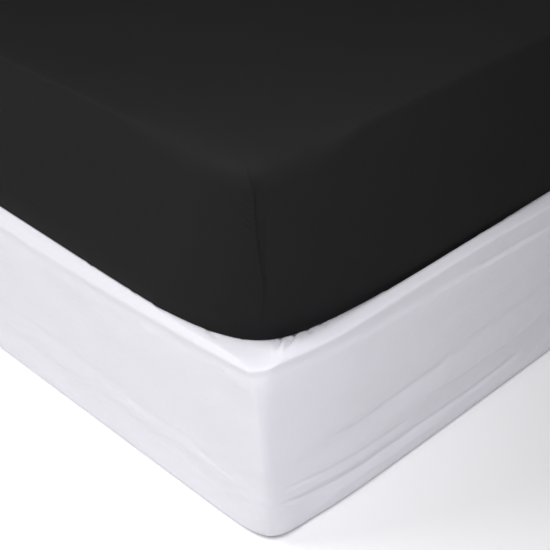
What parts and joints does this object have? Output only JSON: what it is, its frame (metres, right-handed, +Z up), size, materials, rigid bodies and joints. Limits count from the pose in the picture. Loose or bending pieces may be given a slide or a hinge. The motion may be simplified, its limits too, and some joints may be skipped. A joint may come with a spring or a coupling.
{
  "type": "fitted sheet on mattress and bed base",
  "caption": "Black fitted sheet pulled over a deep mattress with soft corners, lying on a bed base in a white fitted cover with a rolled top edge.",
  "frame": {"origin": "middle of the underside, on the floor", "axes": "+Z up, +Y along the bed towards its head, +X to the right seen from the foot"},
  "size_m": [1.3582, 1.9464, 0.653],
  "materials": {
    "sheet_cloth": "smooth matt black cotton",
    "cover_cloth": "smooth white cotton with a slight sheen",
    "mattress_body": "plain ticking",
    "base_body": "plain board and cloth"
  },
  "bodies": {
    "root": {"fitted_sheet": "sheet_cloth", "base_cover": "cover_cloth", "mattress": "mattress_body", "bed_base": "base_body"}
  },
  "joints": []
}
